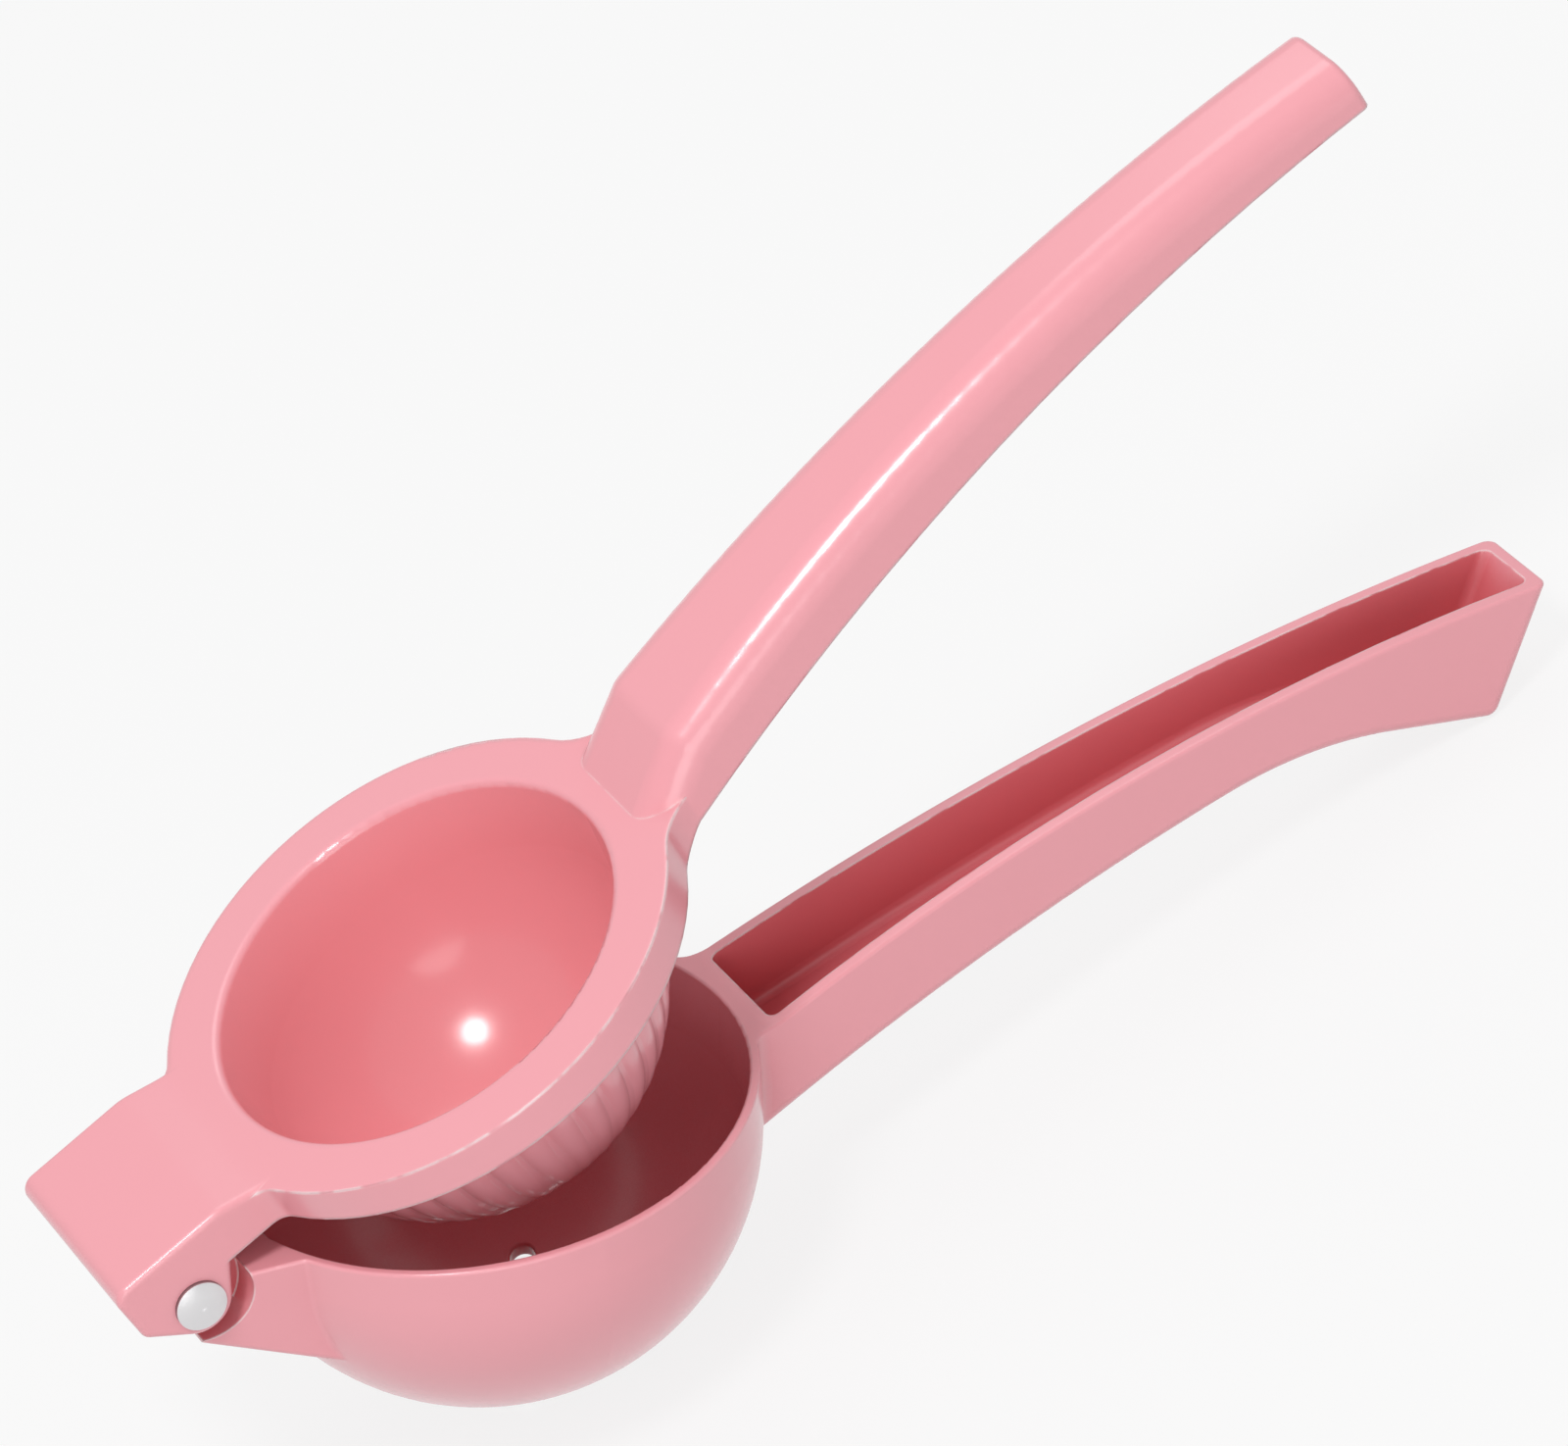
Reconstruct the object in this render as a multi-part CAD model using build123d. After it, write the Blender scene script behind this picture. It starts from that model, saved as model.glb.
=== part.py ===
from build123d import *
import math
import os

# Hinged lemon squeezer: two cast arms and the rivet that joins them.
#
# Both arms are drawn in the rim frame: x runs from the hinge to the handle ends, y across,
# z up, with the bowl's rim in the plane z = 0 and the bowl's axis on x = 0. The press arm is
# drawn closed on the bowl. At the end it is opened about the rivet, and the whole squeezer
# is laid on its bowl and on the heel of the lower handle. Lengths are in millimetres.

# ---------------------------------------------------------------- bowl
rim_radius = 35.5            # inside of the bowl at its rim
rim_land = 1.3
rim_edge_radius = 0.4
wall_draft = 4.4             # of the bowl's outside at the rim, in degrees
dome_depth = 3.8             # centre of the dome below the rim
bowl_wall = 2.0
drip_hole_radius = 1.7
drip_circle_radius = 13.2
drip_hole_count = 6
drip_edge_radius = 0.4

# ---------------------------------------------------------------- press
ring_offset = 2.1            # the press sits this far towards the handles
ring_inset = 0.45            # its edge stays this far inside the outside of the rim
ring_thickness = 5.5
ring_edge_radius = 1.3
closed_gap = 0.3             # ring above the rim when closed
cup_clearance = 6.1          # between the flutes and the bowl at the rim, with both centred
cup_centre_z = -0.5
cup_wall = 2.4               # under the crests
cup_mouth_draft = 9.5        # of the cup's mouth, in degrees
cup_lip_radius = 1.0
flute_count = 40
flute_height = 0.8           # beside the ring
flute_fade_angle = 55.0      # this far below the ring the flutes have sunk into the cup
flute_crest_radius = 3.1
flute_arc = 84.0             # length of a flute, in degrees round the cup
flute_width_share = 0.98     # of the pitch

# ---------------------------------------------------------------- hinge
pin_standoff = 9.3           # from the outside of the rim
pin_z = -1.9
pin_radius = 2.0
pin_clearance = 0.05
pin_press = 0.02             # the rivet is wider than its holes in the cheeks
head_radius = 3.4
head_rim = 0.6
head_dome = 0.6
hinge_half_width = 15.1
cheek_thickness = 4.2
side_clearance = 0.25
nose_radius = 4.6
heel_angle = 226.0           # direction from the rivet square to the chamfered heel
heel_blend_radius = 1.5
notch_reach = 6.6            # this and the next six are distances from the rivet towards the bowl
shoulder_reach = 7.1
block_bend_reach = 8.9
block_ramp_reach = 15.6
block_foot_reach = 17.7
shoulder_root_reach = 16.4
shoulder_end_reach = 26.0
pocket_radius = 7.2
knuckle_radius = 4.7
knuckle_gap = 0.5
neck_angle = -62.0
block_end_wall = 2.75
block_top_wall = 2.8
block_height = 7.6
block_corner_radius = 2.2
block_bend_radius = 8.0
block_ramp_radius = 14.0
block_web_radius = 3.0       # where the block's sides meet the ring
block_edge_radius = 0.8
shoulder_half_width = 15.9   # at the rim's height, at shoulder_reach
shoulder_flare = 0.26
shoulder_draft = 7.0
shoulder_root_z = -18.5
shoulder_slope = 0.535
shoulder_edge_radius = 1.0

# ---------------------------------------------------------------- handles
channel_wall = 1.7           # between the outside of the rim and the lower handle's channel
seam_mid_x = 91.4
seam_mid_z = 11.95
seam_blend_radius = 8.0
handle_end_x = 159.0
handle_end_z = 15.8
handle_root_half = 10.6      # half widths at the three places
handle_mid_half = 8.0
handle_end_half = 7.2
heel_x = 149.3
heel_z = -1.8
heel_radius = 2.0
belly_x = 121.5
belly_z = 5.5
belly_radius = 60.0
keel_root_z = -13.9          # under the outside of the rim
keel_mid_x = 78.0
keel_mid_z = -2.5
keel_edge_radius = 1.6
handle_wall = 1.9
handle_floor = 2.2
channel_corner_radius = 1.3
root_blend_radius = 3.0
handle_gap = 0.7             # between the handles when closed
press_handle_extra = 0.5     # the upper handle is this much wider each side
press_tip_x = 163.1
crest_apex_x = 130.0
crest_apex_z = 24.8
crest_radius = 309.0
press_corner_radius = 4.6    # of the upper handle's long edges
ramp_start = 4.0             # inside the ring's edge
ramp_length = 9.5
ramp_top_radius = 5.0
flare_radius = 10.0
flare_step = 0.3             # the flare stays this far inside the handle's sides
tip_edge_radius = 1.0
hollow_start = 9.0           # beyond the ring's edge
press_wall = 2.4
hollow_corner_radius = 1.5

# ---------------------------------------------------------------- pose
opening_angle = 22.8         # how far open it rests

# ---------------------------------------------------------------- what follows from these
rim_outer_radius = rim_radius + rim_land
draft = math.radians(wall_draft)
dome_radius = rim_outer_radius * math.cos(draft) - dome_depth * math.sin(draft)
ring_radius = rim_outer_radius - ring_inset
ring_bottom = closed_gap
ring_top = ring_bottom + ring_thickness
ring_end_x = ring_offset + ring_radius
cup_radius = rim_radius - cup_clearance
pin_x = -rim_outer_radius - pin_standoff
notch_x = pin_x + notch_reach
shoulder_x = pin_x + shoulder_reach
shoulder_root_x = pin_x + shoulder_root_reach
shoulder_end_x = pin_x + shoulder_end_reach
block_bend_x = pin_x + block_bend_reach
block_ramp_x = pin_x + block_ramp_reach
block_foot_x = pin_x + block_foot_reach
cheek_inner_y = hinge_half_width - cheek_thickness
cavity_reach = knuckle_radius + knuckle_gap
block_end_x = pin_x - cavity_reach - block_end_wall
channel_x = rim_outer_radius + channel_wall
ramp_foot_x = ring_end_x - ramp_start
ramp_top_x = ramp_foot_x + ramp_length
hollow_start_x = ring_end_x + hollow_start
reach = 60.0                 # half the size of cutting bodies, wider than any arm


# ---------------------------------------------------------------- helpers
def prism(face, half_width):
    """A side profile, drawn in x and z, made solid across y."""
    return extrude(Plane.XZ * face, amount=half_width, both=True)


def upright(face, low, high):
    """A plan outline, drawn in x and y, made solid between two heights."""
    return extrude(Pos(0, 0, low) * face, amount=high - low)


def polygon(*points):
    return make_face(Polyline(*points, close=True))


def disc_at(x, z, radius):
    return Pos(x, z) * Circle(radius)


def rounded(face, corners, radius):
    """Round the vertices of an outline that lie nearest to the given corners."""
    picked = [min(face.vertices(), key=lambda v: math.hypot(v.X - x, v.Y - y)) for x, y in corners]
    return fillet(picked, radius)


def circle_through(a, b, c):
    """Centre and radius of the circle through three points."""
    arc = ThreePointArc(a, b, c)
    centre = arc.arc_center
    return centre.X, centre.Y, arc.radius


def side_of(circle, x, offset=0.0):
    """Where a nearly straight circle passes x; a centre above it gives the lower side."""
    centre_x, centre_y, radius = circle
    rise = math.sqrt((radius + offset) ** 2 - (x - centre_x) ** 2)
    return centre_y - rise if centre_y > 0 else centre_y + rise


def arc_along(circle, start_x, end_x, offset=0.0):
    middle_x = (start_x + end_x) / 2
    return ThreePointArc(*[(x, side_of(circle, x, offset)) for x in (start_x, middle_x, end_x)])


def edges_near(solid, points, tolerance=0.4):
    """The edges of a solid that pass through the given points."""
    found = []
    for point in points:
        edge = min(solid.edges(), key=lambda e: e.distance_to(Vector(*point)))
        if edge.distance_to(Vector(*point)) > tolerance:
            raise ValueError(f"no edge near {point}")
        found.append(edge)
    return found


def both_sides(x, y, z):
    return [(x, -y, z), (x, y, z)]


# the seam is the top edge of the lower handle, which the upper handle follows
seam = circle_through((channel_x, 0), (seam_mid_x, seam_mid_z), (handle_end_x, handle_end_z))
crest = (crest_apex_x, crest_apex_z - crest_radius, crest_radius)
keel = circle_through((rim_outer_radius, keel_root_z), (keel_mid_x, keel_mid_z), (belly_x, belly_z))
handle_side = circle_through(
    (channel_x, handle_root_half),
    (seam_mid_x, handle_mid_half),
    (handle_end_x, handle_end_half),
)


def handle_plan(start_x, end_x, extra):
    """Plan outline of a handle, its half widths changed by extra."""
    middle_x = (start_x + end_x) / 2
    near = [(x, -side_of(handle_side, x) - extra) for x in (start_x, middle_x, end_x)]
    far = [(x, side_of(handle_side, x) + extra) for x in (end_x, middle_x, start_x)]
    return make_face([
        ThreePointArc(*near),
        Line(near[2], far[0]),
        ThreePointArc(*far),
        Line(far[2], near[0]),
    ])


# ---------------------------------------------------------------- bowl arm
def bowl_of(radius_at_rim, radius):
    """A drafted wall that runs tangent into a dome, filled, with its top at the rim."""
    distance = math.hypot(radius_at_rim, dome_depth)
    angle = math.atan2(dome_depth, radius_at_rim) - math.acos(radius / distance)
    middle = (angle - math.pi / 2) / 2
    tangent = (radius * math.cos(angle), radius * math.sin(angle) - dome_depth)
    halfway = (radius * math.cos(middle), radius * math.sin(middle) - dome_depth)
    bottom = (0, -dome_depth - radius)
    section = make_face([
        ThreePointArc(tangent, halfway, bottom),
        Line(bottom, (0, 0)),
        Line((0, 0), (radius_at_rim, 0)),
        Line((radius_at_rim, 0), tangent),
    ])
    return revolve(Plane.XZ * section, Axis.Z)


def above_keel():
    """Side profile of all that lies above the lower handle's keel and inside its end."""
    lean = (handle_end_x - heel_x) / (handle_end_z - heel_z)
    end_top = (heel_x + (reach - heel_z) * lean, reach)
    keel_start = (0, side_of(keel, 0))
    outline = make_face([
        arc_along(keel, 0, belly_x),
        Line((belly_x, side_of(keel, belly_x)), (heel_x, heel_z)),
        Line((heel_x, heel_z), end_top),
        Line(end_top, (0, reach)),
        Line((0, reach), keel_start),
    ])
    outline = rounded(outline, [(belly_x, belly_z)], belly_radius)
    return rounded(outline, [(heel_x, heel_z)], heel_radius)


def below_seam():
    end_x = handle_end_x + handle_wall
    outline = make_face([
        Line((0, 0), (channel_x, 0)),
        arc_along(seam, channel_x, end_x),
        Line((end_x, side_of(seam, end_x)), (end_x, -reach)),
        Line((end_x, -reach), (0, -reach)),
        Line((0, -reach), (0, 0)),
    ])
    return rounded(outline, [(channel_x, 0)], seam_blend_radius)


def handle_body():
    body = prism(above_keel() & below_seam(), reach)
    body &= upright(handle_plan(0, handle_end_x, 0), -reach, reach)
    keel_half = side_of(handle_side, keel_mid_x)
    lower_edges = edges_near(body, both_sides(keel_mid_x, keel_half, keel_mid_z))
    return fillet(lower_edges, keel_edge_radius)


def channel_body():
    """The hollow of the lower handle."""
    end_height = handle_end_z - heel_z
    end_shift = handle_wall * math.hypot(handle_end_x - heel_x, end_height) / end_height
    side = Pos(0, handle_floor) * above_keel()
    side &= Pos(-end_shift, 0) * above_keel()
    body = prism(side, reach)
    body &= upright(handle_plan(channel_x, handle_end_x + reach, -handle_wall), -reach, reach)
    half = side_of(handle_side, keel_mid_x) - handle_wall
    corners = both_sides(keel_mid_x, half, keel_mid_z + handle_floor)
    corners += both_sides(channel_x, handle_root_half - handle_wall, 0)
    corners += [(channel_x, 0, side_of(keel, channel_x) + handle_floor)]
    end_mid_x = (heel_x + handle_end_x) / 2 - end_shift
    end_mid_half = side_of(handle_side, end_mid_x) - handle_wall
    corners += both_sides(end_mid_x, end_mid_half, (heel_z + handle_end_z) / 2)
    return fillet(edges_near(body, corners), channel_corner_radius)


def shoulder_body():
    """The block that carries the hinge: drafted sides, flaring towards the bowl."""
    lip_x = pin_x - knuckle_radius
    lip_z = shoulder_root_z + (shoulder_root_x - lip_x) * shoulder_slope
    end_z = shoulder_root_z + (shoulder_root_x - shoulder_end_x) * shoulder_slope
    side = polygon((shoulder_end_x, 0), (lip_x, 0), (lip_x, lip_z), (shoulder_end_x, end_z))
    taper = math.tan(math.radians(shoulder_draft))
    sections = []
    for height in (0, end_z):
        half = shoulder_half_width + height * taper
        lip_half = half + (lip_x - shoulder_x) * shoulder_flare
        end_half = half + (shoulder_end_x - shoulder_x) * shoulder_flare
        sections.append(Pos(0, 0, height) * polygon(
            (lip_x, -lip_half),
            (shoulder_end_x, -end_half),
            (shoulder_end_x, end_half),
            (lip_x, lip_half),
        ))
    body = prism(side, reach) & loft(sections, ruled=True)
    under_z = shoulder_root_z + (shoulder_root_x - shoulder_x) * shoulder_slope
    under_half = shoulder_half_width + under_z * taper
    lower_edges = edges_near(body, both_sides(shoulder_x, under_half, under_z))
    return fillet(lower_edges, shoulder_edge_radius)


def knuckle_body():
    """The eye between the press arm's cheeks, on its neck."""
    turn = math.radians(neck_angle)
    under = (pin_x + knuckle_radius * math.cos(turn), pin_z + knuckle_radius * math.sin(turn))
    root_x = pin_x + pocket_radius + knuckle_radius
    top_x = pin_x + math.sqrt(knuckle_radius ** 2 - pin_z ** 2)
    outline = disc_at(pin_x, pin_z, knuckle_radius)
    outline += polygon((pin_x, pin_z), under, (root_x, under[1]), (root_x, 0), (top_x, 0))
    return prism(outline, cheek_inner_y - side_clearance)


def under_rim(edge):
    """Whether an edge lies on the flank of the bowl, below its rim."""
    centre = edge.center()
    return 0.7 * dome_radius < abs(centre.X) < channel_x and centre.Z < -rim_land


def handle_half():
    """The bowl's side towards the handle, with the handle blended into it."""
    body = bowl_of(rim_outer_radius, dome_radius) + handle_body()
    body = fillet([e for e in body.edges() if under_rim(e)], root_blend_radius)
    body = fillet(edges_near(body, [(0, rim_outer_radius, 0)]), rim_edge_radius)
    return body & Pos(2 * reach, 0, 0) * Box(4 * reach, 4 * reach, 4 * reach)


def hinge_half():
    """The bowl's side towards the hinge, with the shoulders blended into it."""
    body = bowl_of(rim_outer_radius, dome_radius) + shoulder_body()
    joint = [e for e in body.edges() if under_rim(e) and abs(e.center().X) < dome_radius]
    body = fillet(joint, shoulder_edge_radius)
    body = fillet(edges_near(body, [(0, rim_outer_radius, 0)]), rim_edge_radius)
    return body & Pos(-2 * reach, 0, 0) * Box(4 * reach, 4 * reach, 4 * reach)


bowl_inside = bowl_of(rim_radius, dome_radius - bowl_wall)
behind_pin = Pos(pin_x - reach, 0) * Rectangle(2 * reach, 2 * reach)
pocket = prism(disc_at(pin_x, pin_z, pocket_radius) + behind_pin, reach)
bowl_arm = handle_half() + hinge_half() - bowl_inside - channel_body() - pocket
bowl_arm = fillet(edges_near(bowl_arm, [(0, rim_radius, 0)]), rim_edge_radius)
bowl_arm += knuckle_body() - bowl_inside
bowl_arm -= prism(disc_at(pin_x, pin_z, pin_radius + pin_clearance), reach)
drip_hole = upright(Circle(drip_hole_radius), -dome_depth - 1.2 * dome_radius, -dome_depth)
bowl_arm -= drip_hole
for place in PolarLocations(drip_circle_radius, drip_hole_count):
    bowl_arm -= place * drip_hole
hole_edges = [e for e in bowl_arm.edges() if e.center().Z < -dome_depth - 0.8 * dome_radius]
hole_edges = [e for e in hole_edges if e.length < 4 * math.pi * drip_hole_radius]
bowl_arm = fillet(hole_edges, drip_edge_radius)


# ---------------------------------------------------------------- press arm
def crossing_of(circle, z, offset):
    """Where the rising side of a circle, moved outwards by offset, reaches a height."""
    centre_x, centre_z, radius = circle
    return centre_x - math.sqrt((radius + offset) ** 2 - (z - centre_z) ** 2)


def press_underside():
    """Side profile of what is cut away below the press arm: the rim's side and the seam."""
    start_x = crossing_of(seam, ring_bottom, handle_gap)
    end_x = press_tip_x + press_wall
    end = (end_x, side_of(seam, end_x, handle_gap))
    outline = make_face([
        Line((-reach, ring_bottom), (start_x, ring_bottom)),
        arc_along(seam, start_x, end_x, handle_gap),
        Polyline(end, (end_x, -reach), (-reach, -reach), (-reach, ring_bottom)),
    ])
    return rounded(outline, [(start_x, ring_bottom)], seam_blend_radius)


def press_handle():
    """The upper handle from its ramp to its tip, with rounded long edges, not yet cut below."""
    crest_start = (ramp_top_x, side_of(crest, ramp_top_x))
    slope = (crest_start[1] - ring_top) / ramp_length
    root_x = ramp_foot_x - ramp_start
    root = (root_x, ring_top - ramp_start * slope)
    outline = make_face([
        Line((root_x, -reach), root),
        Line(root, crest_start),
        arc_along(crest, ramp_top_x, press_tip_x),
        Polyline((press_tip_x, side_of(crest, press_tip_x)), (press_tip_x, -reach), (root_x, -reach)),
    ])
    outline = rounded(outline, [crest_start], ramp_top_radius)
    plan = handle_plan(ring_offset, press_tip_x, press_handle_extra)
    body = prism(outline, reach) & upright(plan, -reach, reach)
    half = side_of(handle_side, seam_mid_x) + press_handle_extra
    long_edges = edges_near(body, both_sides(seam_mid_x, half, side_of(crest, seam_mid_x)))
    return fillet(long_edges, press_corner_radius)


def press_plan():
    """Plan outline of the ring, which flares into the upper handle and the hinge block."""
    outline = Pos(ring_offset, 0) * Circle(ring_radius)
    plate_end_x = ring_end_x + flare_radius
    outline += handle_plan(ring_offset, plate_end_x, press_handle_extra - flare_step)
    web = Rectangle(ring_offset - block_bend_x, 2 * hinge_half_width)
    outline += Pos((block_bend_x + ring_offset) / 2, 0) * web
    root_half = handle_root_half + press_handle_extra - flare_step
    root_x = ring_offset + math.sqrt(ring_radius ** 2 - root_half ** 2)
    outline = rounded(outline, [(root_x, -root_half), (root_x, root_half)], flare_radius)
    web_x = ring_offset - math.sqrt(ring_radius ** 2 - hinge_half_width ** 2)
    corners = [(web_x, -hinge_half_width), (web_x, hinge_half_width)]
    return rounded(outline, corners, block_web_radius)


def hollow_body():
    """The hollow under the upper handle."""
    end_x = press_tip_x - press_wall
    low_z = side_of(seam, hollow_start_x) - handle_gap
    end_top = (end_x, side_of(crest, end_x, -press_wall))
    start_top = (hollow_start_x, side_of(crest, hollow_start_x, -press_wall))
    side = make_face([
        Line((hollow_start_x, low_z), (end_x, low_z)),
        Line((end_x, low_z), end_top),
        arc_along(crest, end_x, hollow_start_x, -press_wall),
        Line(start_top, (hollow_start_x, low_z)),
    ])
    plan = handle_plan(hollow_start_x, end_x, press_handle_extra - press_wall)
    body = prism(side, reach) & upright(plan, -reach, reach)
    return fillet([e for e in body.edges() if e.center().Z > low_z], hollow_corner_radius)


def block_side():
    """Side profile of the hinge block: bridge, chamfered heel and nose round the rivet."""
    turn = math.radians(heel_angle)
    tangent = (pin_x + nose_radius * math.cos(turn), pin_z + nose_radius * math.sin(turn))
    block_heel = (block_end_x, tangent[1] + (tangent[0] - block_end_x) / math.tan(turn))
    notch = (notch_x, ring_bottom)
    notch_distance = math.hypot(notch_x - pin_x, ring_bottom - pin_z)
    turn = math.atan2(ring_bottom - pin_z, notch_x - pin_x) - math.acos(nose_radius / notch_distance)
    nose_end = (pin_x + nose_radius * math.cos(turn), pin_z + nose_radius * math.sin(turn))
    outline = make_face([
        Line(block_heel, tangent),
        ThreePointArc(tangent, (pin_x, pin_z - nose_radius), nose_end),
        Line(nose_end, notch),
        Line(notch, (block_foot_x, ring_bottom)),
        Line((block_foot_x, ring_bottom), (block_foot_x, ring_top)),
        Line((block_foot_x, ring_top), (block_ramp_x, ring_top)),
        Line((block_ramp_x, ring_top), (block_bend_x, block_height)),
        Line((block_bend_x, block_height), (block_end_x, block_height)),
        Line((block_end_x, block_height), block_heel),
    ])
    outline = rounded(outline, [block_heel], heel_blend_radius)
    outline = rounded(outline, [(block_end_x, block_height)], block_corner_radius)
    outline = rounded(outline, [(block_bend_x, block_height)], block_bend_radius)
    return rounded(outline, [(block_ramp_x, ring_top)], block_ramp_radius)


def block_body():
    """The hinge block, hollow between its cheeks."""
    body = prism(block_side(), hinge_half_width)
    middle_x = (block_bend_x + block_end_x) / 2
    body = fillet(edges_near(body, both_sides(middle_x, hinge_half_width, block_height)), block_edge_radius)
    cavity = polygon(
        (pin_x - cavity_reach, -reach),
        (notch_x + pin_clearance, -reach),
        (notch_x + pin_clearance, ring_bottom),
        (pin_x + cavity_reach, ring_bottom),
        (pin_x + cavity_reach, block_height - block_top_wall),
        (pin_x - cavity_reach, block_height - block_top_wall),
    )
    return body - prism(cavity, cheek_inner_y)


def fluted_cup():
    """The cup's outside: a dome with convex flutes that sink into it towards the bottom."""
    sink = flute_height / math.sin(math.radians(flute_fade_angle))
    dome = Pos(0, 0, -sink) * Sphere(cup_radius - flute_height)
    start = Pos(cup_radius - flute_crest_radius, 0) * Circle(flute_crest_radius)
    rise = math.degrees(ring_thickness / 2 / cup_radius)
    flute = revolve(Rot(0, -rise, 0) * start, Axis.Y, revolution_arc=flute_arc)
    edge = 2 * reach * math.tan(math.pi / flute_count * flute_width_share)
    sector = polygon((0, 0), (2 * reach, -edge), (2 * reach, edge))
    flute &= upright(sector, -reach, reach)
    flute -= Sphere(cup_radius - cup_wall / 2)
    flutes = [place * flute for place in PolarLocations(0, flute_count)]
    below_ring = Pos(0, 0, ring_bottom - cup_centre_z - reach) * Box(2 * reach, 2 * reach, 2 * reach)
    return (dome + flutes) & below_ring


def cup_hollow():
    """The cup's inside: a dome that runs into a tapered mouth."""
    inner_radius = cup_radius - cup_wall
    turn = math.radians(cup_mouth_draft)
    low_z = cup_centre_z - inner_radius * math.sin(turn)
    low_radius = inner_radius * math.cos(turn)
    height = reach
    mouth = Cone(low_radius, low_radius + height * math.tan(turn), height)
    dome = Pos(0, 0, cup_centre_z) * Sphere(inner_radius)
    return Pos(ring_offset, 0) * (dome + Pos(0, 0, low_z + height / 2) * mouth)


press_plate = upright(press_plan(), -reach, ring_top)
press_plate = fillet(edges_near(press_plate, [(ring_offset, ring_radius, ring_top)]), ring_edge_radius)
press_arm = press_plate + press_handle() - prism(press_underside(), reach)
tip_top = (press_tip_x, 0, side_of(crest, press_tip_x))
press_arm = fillet(edges_near(press_arm, [tip_top]), tip_edge_radius)
press_arm = press_arm - hollow_body() + block_body()
press_arm += Pos(ring_offset, 0, cup_centre_z) * fluted_cup()
press_arm -= cup_hollow()
mouth_radius = (cup_radius - cup_wall) / math.cos(math.radians(cup_mouth_draft))
mouth_radius += (ring_top - cup_centre_z) * math.tan(math.radians(cup_mouth_draft))
lip = edges_near(press_arm, [(ring_offset, mouth_radius, ring_top)])
press_arm = fillet(lip, cup_lip_radius)
press_arm -= prism(disc_at(pin_x, pin_z, pin_radius - pin_press), reach)


# ---------------------------------------------------------------- rivet
def rivet_body():
    """A shank with a domed head at both ends, across the hinge."""
    head_y = hinge_half_width + head_rim
    top_y = head_y + head_dome
    dome_r = (head_radius ** 2 + head_dome ** 2) / (2 * head_dome)
    half_angle = math.asin(head_radius / dome_r) / 2
    shoulder = (dome_r * math.sin(half_angle), top_y - dome_r * (1 - math.cos(half_angle)))
    section = make_face([
        ThreePointArc((0, top_y), shoulder, (head_radius, head_y)),
        Polyline(
            (head_radius, head_y),
            (head_radius, hinge_half_width),
            (pin_radius, hinge_half_width),
            (pin_radius, 0),
            (0, 0),
            (0, top_y),
        ),
    ])
    half = revolve(section, Axis.Y)
    return Pos(pin_x, 0, pin_z) * (half + mirror(half, Plane.XZ))


hinge_pin = rivet_body()

# ---------------------------------------------------------------- pose
# the press arm opens about the rivet, which turns with it
opened = Pos(pin_x, 0, pin_z) * Rot(0, -opening_angle, 0) * Pos(-pin_x, 0, -pin_z)

# the squeezer rests on its dome and on the rounded heel of the lower handle
to_belly = Vector(belly_x - heel_x, 0, belly_z - heel_z).normalized()
to_end = Vector(handle_end_x - heel_x, 0, handle_end_z - heel_z).normalized()
inward = (to_belly + to_end).normalized()
heel_reach = heel_radius / math.sin(math.acos(inward.dot(to_end)))
foot = Vector(heel_x, 0, heel_z) + inward * heel_reach - Vector(0, 0, -dome_depth)
lie = math.atan2(foot.Z, foot.X) + math.asin((dome_radius - heel_radius) / foot.length)
resting = Pos(0, 0, dome_radius) * Rot(0, math.degrees(lie), 0) * Pos(0, 0, dome_depth)

os.makedirs("parts", exist_ok=True)
for name, solid in (
    ("bowl_arm", resting * bowl_arm),
    ("press_arm", resting * opened * press_arm),
    ("hinge_pin", resting * opened * hinge_pin),
):
    solid.label = name
    export_step(solid, f"parts/{name}.step")
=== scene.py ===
import math

import bpy
from mathutils import Matrix, Vector

# Lengths are in metres, angles in degrees, powers in watts and colours linear, except where a name
# ends in MM. A noise is given by how many of its features fit in a metre.

# ---------------------------------------------------------------- camera, fitted to the photograph
CAMERA_AZIMUTH = -12.5478
CAMERA_ELEVATION = 37.7798
CAMERA_ROLL = -26.7207
CAMERA_PLACE = (-0.123465, -0.820448, 0.713332)
CAMERA_NEAR = 0.05
CAMERA_FAR = 20.0
LENS_MM = 192.04
SENSOR_MM = 36.0

# ---------------------------------------------------------------- lights, aimed at the object
LIGHT_TARGET = (0.05, 0.0, 0.05)
LIGHTS = {
    "key": {"azimuth": -32.7, "elevation": 66.8, "distance": 1.1, "size": 0.28, "power": 5.6},
    "behind": {"azimuth": 148.0, "elevation": 53.0, "distance": 1.3, "size": 0.8, "power": 3.0},
    "front": {"azimuth": -19.5, "elevation": 13.0, "distance": 1.4, "size": 0.9, "power": 4.7},
}
WORLD_STRENGTH = 0.56

# ---------------------------------------------------------------- floor
FLOOR_SIZE = 6.0
FLOOR_HEIGHT = -0.0002        # just clear of the bowl, which stands on zero
FLOOR_GREY = (0.6, 0.6, 0.6, 1.0)
FLOOR_GLOW = 0.84             # the share of white in the floor, as seen and as reflected
WHITE = (1.0, 1.0, 1.0, 1.0)

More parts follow.
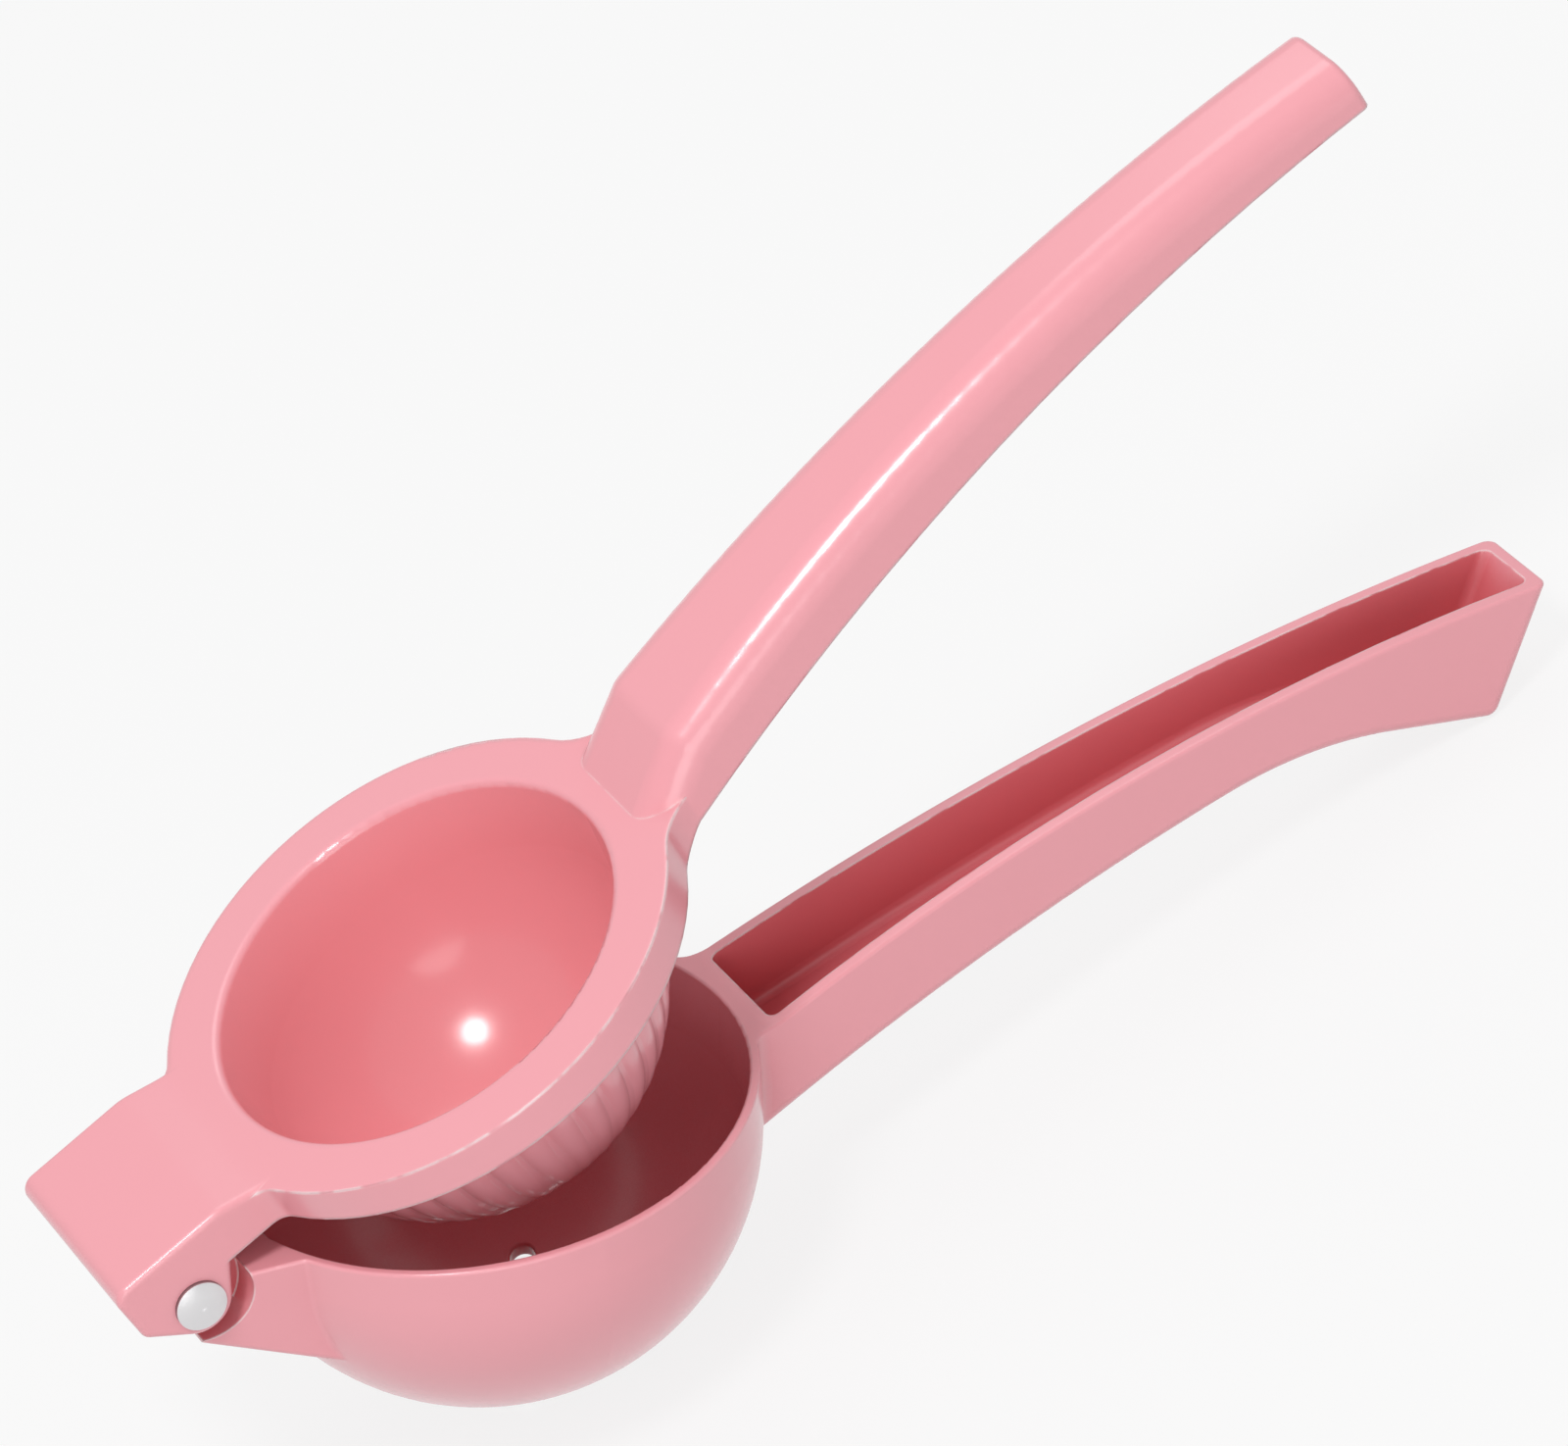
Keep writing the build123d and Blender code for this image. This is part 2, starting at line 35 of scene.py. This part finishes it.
# ---------------------------------------------------------------- enamel
ENAMEL_OPEN = (0.80, 0.335, 0.378, 1.0)
# the pale edge colour: partly thin coat, partly painted highlight
ENAMEL_THIN_EDGE_AND_HIGHLIGHT = (0.86, 0.70, 0.71, 1.0)
# painted shade: the deeper, darker reds given to each arm's hollows
BOWL_HOLLOW_SHADE = (0.67, 0.142, 0.162, 1.0)
CUP_HOLLOW_SHADE = (0.80, 0.275, 0.302, 1.0)
BOWL_EDGE_RADIUS = 0.0005     # to which the render rounds the bowl arm's edges
PRESS_EDGE_RADIUS = 0.0008    # and the press arm's
HOLLOW_REACH = 0.055          # how far off a wall still adds painted shade to the enamel
HOLLOW_STARTS = 0.97          # the open share of its view at which painted shade starts
HOLLOW_FULL = 0.42            # and at which a place has the painted shade colour in full
TONE_SPREAD = 0.16            # how much the depth of the colour wanders
EDGE_STARTS = 0.985           # cosine of an edge's turn at which the pale line, thin coat and painted highlight, starts
EDGE_FULL = 0.86              # and at which it is strongest
DASH_STARTS = 0.32            # noise under this leaves an edge without the pale line
DASH_FULL = 0.52              # and over this shows it in full

# ---------------------------------------------------------------- steel
STEEL = (0.76, 0.75, 0.76, 1.0)
STEEL_PAINTED_SHADE = (0.16, 0.13, 0.13, 1.0)
GAP_REACH = 0.0015            # how far off a wall still adds painted shade to the steel
GAP_FULL = 0.45               # the open share of its view at which the painted shade is darkest
GAP_ENDS = 0.95               # and at which it is gone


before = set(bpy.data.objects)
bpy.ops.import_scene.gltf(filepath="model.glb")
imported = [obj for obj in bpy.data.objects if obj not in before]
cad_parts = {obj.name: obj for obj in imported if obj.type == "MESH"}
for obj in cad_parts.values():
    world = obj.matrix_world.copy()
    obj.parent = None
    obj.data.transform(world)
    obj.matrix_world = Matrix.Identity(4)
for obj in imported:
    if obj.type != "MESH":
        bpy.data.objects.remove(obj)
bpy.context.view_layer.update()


# ---------------------------------------------------------------- node helpers
def feed(tree, socket, value):
    """Link another node's output to a socket, or set the socket to a constant."""
    if isinstance(value, bpy.types.NodeSocket):
        tree.links.new(value, socket)
    else:
        socket.default_value = value


def make(tree, kind, inputs=None, **settings):
    """Add a node: inputs feeds its sockets by name or place, settings are its own options."""
    node = tree.nodes.new(kind)
    for key, value in settings.items():
        setattr(node, key, value)
    for key, value in (inputs or {}).items():
        feed(tree, node.inputs[key], value)
    return node


def new_material(name):
    material = bpy.data.materials.new(name)
    material.use_nodes = True
    material.node_tree.nodes.clear()
    return material, material.node_tree


def object_place(tree):
    return make(tree, "ShaderNodeTexCoord").outputs["Object"]


def noise(tree, place, per_metre, detail):
    inputs = {"Vector": place, "Scale": per_metre, "Detail": detail}
    return make(tree, "ShaderNodeTexNoise", inputs).outputs["Fac"]


def uneven(tree, height, depth, strength, normal=None):
    """The normal of a surface that a height from 0 to 1 makes uneven by up to a depth."""
    inputs = {"Height": height, "Distance": depth, "Strength": strength}
    if normal is not None:
        inputs["Normal"] = normal
    return make(tree, "ShaderNodeBump", inputs).outputs["Normal"]


def ramp(tree, value, starts, full):
    """A value stretched so that it runs smoothly from 0 where it starts to 1 where it is full."""
    inputs = {"Value": value, "From Min": starts, "From Max": full}
    return make(tree, "ShaderNodeMapRange", inputs, interpolation_type="SMOOTHSTEP").outputs["Result"]


def between(tree, value, low, high):
    """A value from 0 to 1 moved to lie between two others."""
    inputs = {"Value": value, "To Min": low, "To Max": high}
    return make(tree, "ShaderNodeMapRange", inputs).outputs["Result"]


def open_share(tree, reach, **settings):
    """How much of its surroundings a place sees with nothing nearer than reach."""
    return make(tree, "ShaderNodeAmbientOcclusion", {"Distance": reach}, samples=8, **settings).outputs["AO"]


def maths(tree, operation, *values):
    return make(tree, "ShaderNodeMath", dict(enumerate(values)), operation=operation).outputs[0]


def blend(tree, share, first, second):
    """The first colour where share is 0 and the second where it is 1."""
    inputs = {0: share, 6: first, 7: second}
    return make(tree, "ShaderNodeMix", inputs, data_type="RGBA").outputs[2]


def surface(tree, shader):
    make(tree, "ShaderNodeOutputMaterial", {"Surface": shader.outputs[0]})


# ---------------------------------------------------------------- the object's materials
def enamel(name, hollow_shade, edge_radius):
    """Glossy enamel on a casting, with painted shade that deepens its colour in the hollows, and pale dashes
    along the edges that are partly thin coat and partly painted highlight.
    """
    material, tree = new_material(name)
    place = object_place(tree)
    facing = make(tree, "ShaderNodeNewGeometry").outputs["Normal"]
    rounded = make(tree, "ShaderNodeBevel", {"Radius": edge_radius}, samples=6).outputs["Normal"]

    # painted shade: the colour turns deeper and darker where nearby walls hide the surroundings
    depth = ramp(tree, open_share(tree, HOLLOW_REACH, only_local=True), HOLLOW_STARTS, HOLLOW_FULL)
    wander = noise(tree, place, per_metre=42.0, detail=4.0)
    tone = maths(tree, "MULTIPLY_ADD", wander, TONE_SPREAD, -TONE_SPREAD / 2)
    colour = blend(tree, maths(tree, "ADD", depth, tone), ENAMEL_OPEN, hollow_shade)

    # pale dashes along the edges: partly the coat thinning, partly a painted highlight
    turn = make(tree, "ShaderNodeVectorMath", {0: rounded, 1: facing}, operation="DOT_PRODUCT")
    edge = ramp(tree, turn.outputs["Value"], EDGE_STARTS, EDGE_FULL)
    dashes = ramp(tree, noise(tree, place, per_metre=260.0, detail=2.0), DASH_STARTS, DASH_FULL)
    colour = blend(tree, maths(tree, "MULTIPLY", edge, dashes), colour, ENAMEL_THIN_EDGE_AND_HIGHLIGHT)

    waves = noise(tree, place, per_metre=48.0, detail=2.0)
    grain = noise(tree, place, per_metre=900.0, detail=2.0)
    normal = uneven(tree, waves, depth=0.0003, strength=0.3, normal=rounded)
    normal = uneven(tree, grain, depth=0.00001, strength=0.4, normal=normal)
    dulling = noise(tree, place, per_metre=140.0, detail=4.0)
    surface(tree, make(tree, "ShaderNodeBsdfPrincipled", {
        "Base Color": colour,
        "Normal": normal,
        "Roughness": between(tree, dulling, low=0.19, high=0.29),
        "Coat Weight": 0.35,
        "Coat Roughness": 0.13,
    }))
    return material


def steel(name):
    """Steel of a peened rivet head: finely grained, with small dents, and painted shade darkening it in the
    gap around it.
    """
    material, tree = new_material(name)
    place = object_place(tree)
    # painted shade: darker where walls close in around the head
    clear = ramp(tree, open_share(tree, GAP_REACH), GAP_FULL, GAP_ENDS)
    dents = noise(tree, place, per_metre=420.0, detail=3.0)
    grain = noise(tree, place, per_metre=2600.0, detail=2.0)
    normal = uneven(tree, dents, depth=0.00012, strength=0.5)
    normal = uneven(tree, grain, depth=0.00002, strength=0.5, normal=normal)
    dulling = noise(tree, place, per_metre=1500.0, detail=4.0)
    surface(tree, make(tree, "ShaderNodeBsdfPrincipled", {
        "Base Color": blend(tree, clear, STEEL_PAINTED_SHADE, STEEL),
        "Normal": normal,
        "Roughness": between(tree, dulling, low=0.28, high=0.45),
        "Metallic": 1.0,
    }))
    return material


MATERIALS = {
    "bowl_arm": enamel("lower_enamel_coat", BOWL_HOLLOW_SHADE, BOWL_EDGE_RADIUS),
    "press_arm": enamel("upper_enamel_coat", CUP_HOLLOW_SHADE, PRESS_EDGE_RADIUS),
    "hinge_pin": steel("rivet_steel_brushed"),
}
for node, material in MATERIALS.items():
    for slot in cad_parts[node].material_slots:
        slot.material = material


# ---------------------------------------------------------------- camera
def aim(azimuth, elevation):
    """The direction from the object to what looks at it or lights it."""
    a, e = math.radians(azimuth), math.radians(elevation)
    return Vector((math.sin(a) * math.cos(e), -math.cos(a) * math.cos(e), math.sin(e)))


def add_camera(name):
    data = bpy.data.cameras.new(name)
    data.lens = LENS_MM
    data.sensor_width = SENSOR_MM
    data.sensor_fit = "HORIZONTAL"
    data.clip_start = CAMERA_NEAR
    data.clip_end = CAMERA_FAR
    camera = bpy.data.objects.new(name, data)
    bpy.context.collection.objects.link(camera)

    # level first, then rolled about the line of sight
    back = aim(CAMERA_AZIMUTH, CAMERA_ELEVATION)
    right = (-back).cross(Vector((0, 0, 1))).normalized()
    down = (-back).cross(right)
    roll = math.radians(CAMERA_ROLL)
    turned_right = right * math.cos(roll) - down * math.sin(roll)
    turned_down = right * math.sin(roll) + down * math.cos(roll)
    axes = Matrix((turned_right, -turned_down, back)).transposed()
    camera.matrix_world = Matrix.Translation(CAMERA_PLACE) @ axes.to_4x4()
    return camera


bpy.context.scene.camera = add_camera("camera")


# ---------------------------------------------------------------- stage and light
def add_light(name, azimuth, elevation, distance, size, power):
    data = bpy.data.lights.new(name, "AREA")
    data.shape = "DISK"
    data.size = size
    data.energy = power
    light = bpy.data.objects.new(name, data)
    bpy.context.collection.objects.link(light)
    towards = aim(azimuth, elevation).normalized()
    light.location = Vector(LIGHT_TARGET) + towards * distance
    light.rotation_mode = "QUATERNION"
    light.rotation_quaternion = towards.to_track_quat("Z", "Y")


def floor_material(name):
    """Matt and pale, and nearly white as seen by the camera and in reflections."""
    material, tree = new_material(name)
    rays = make(tree, "ShaderNodeLightPath").outputs
    seen = maths(tree, "MAXIMUM", rays["Is Camera Ray"], rays["Is Glossy Ray"])
    seen = maths(tree, "MAXIMUM", seen, rays["Is Transmission Ray"])
    matt = make(tree, "ShaderNodeBsdfDiffuse", {"Color": FLOOR_GREY})
    glow = make(tree, "ShaderNodeEmission", {"Color": WHITE})
    share = maths(tree, "MULTIPLY", seen, FLOOR_GLOW)
    surface(tree, make(tree, "ShaderNodeMixShader", {0: share, 1: matt.outputs[0], 2: glow.outputs[0]}))
    return material


def add_floor(name):
    mesh = bpy.data.meshes.new(name)
    far = FLOOR_SIZE / 2
    corners = [(x, y, FLOOR_HEIGHT) for x, y in ((-far, -far), (far, -far), (far, far), (-far, far))]
    mesh.from_pydata(corners, [], [(0, 1, 2, 3)])
    mesh.materials.append(floor_material("floor_white"))
    piece = bpy.data.objects.new(name, mesh)
    bpy.context.collection.objects.link(piece)
    return piece


for name, setting in LIGHTS.items():
    add_light(name, **setting)

floor = add_floor("floor")

world = bpy.data.worlds.new("studio")
world.use_nodes = True
background = world.node_tree.nodes["Background"]
background.inputs["Color"].default_value = WHITE
background.inputs["Strength"].default_value = WORLD_STRENGTH
bpy.context.scene.world = world

bpy.context.scene.view_settings.view_transform = "Standard"
